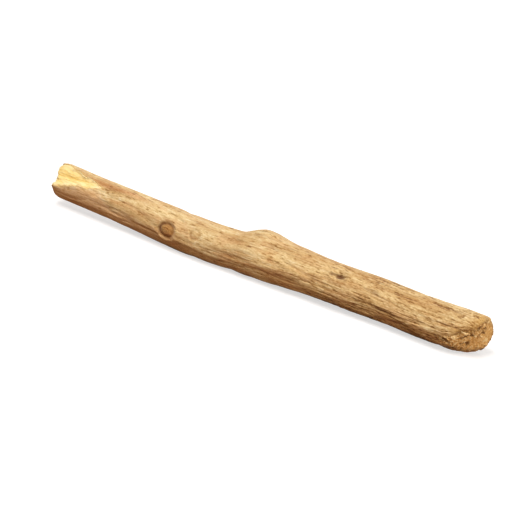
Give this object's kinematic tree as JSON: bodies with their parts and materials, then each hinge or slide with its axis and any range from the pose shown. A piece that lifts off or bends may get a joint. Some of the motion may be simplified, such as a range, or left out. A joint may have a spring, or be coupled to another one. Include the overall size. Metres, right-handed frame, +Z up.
{
  "type": "dried serrate glory bower root",
  "caption": "Dried cut length of an aromatic root lying on its side, gently bowed, with ridged bark, a swelling, a ring scar, a split at one end and a worn bevel at the other",
  "frame": {"origin": "midway along and across the root, at the height of the surface it rests on", "axes": "+X runs along the root from its broken end to its worn end, +Z is up, and -Y is the side with the ring scar and the split"},
  "size_m": [0.1222, 0.0114, 0.012],
  "materials": {
    "bark": "matt dry bark, tan with brown streaks, over pale yellow wood"
  },
  "bodies": {
    "root": {"dried_root": "bark"}
  },
  "joints": []
}
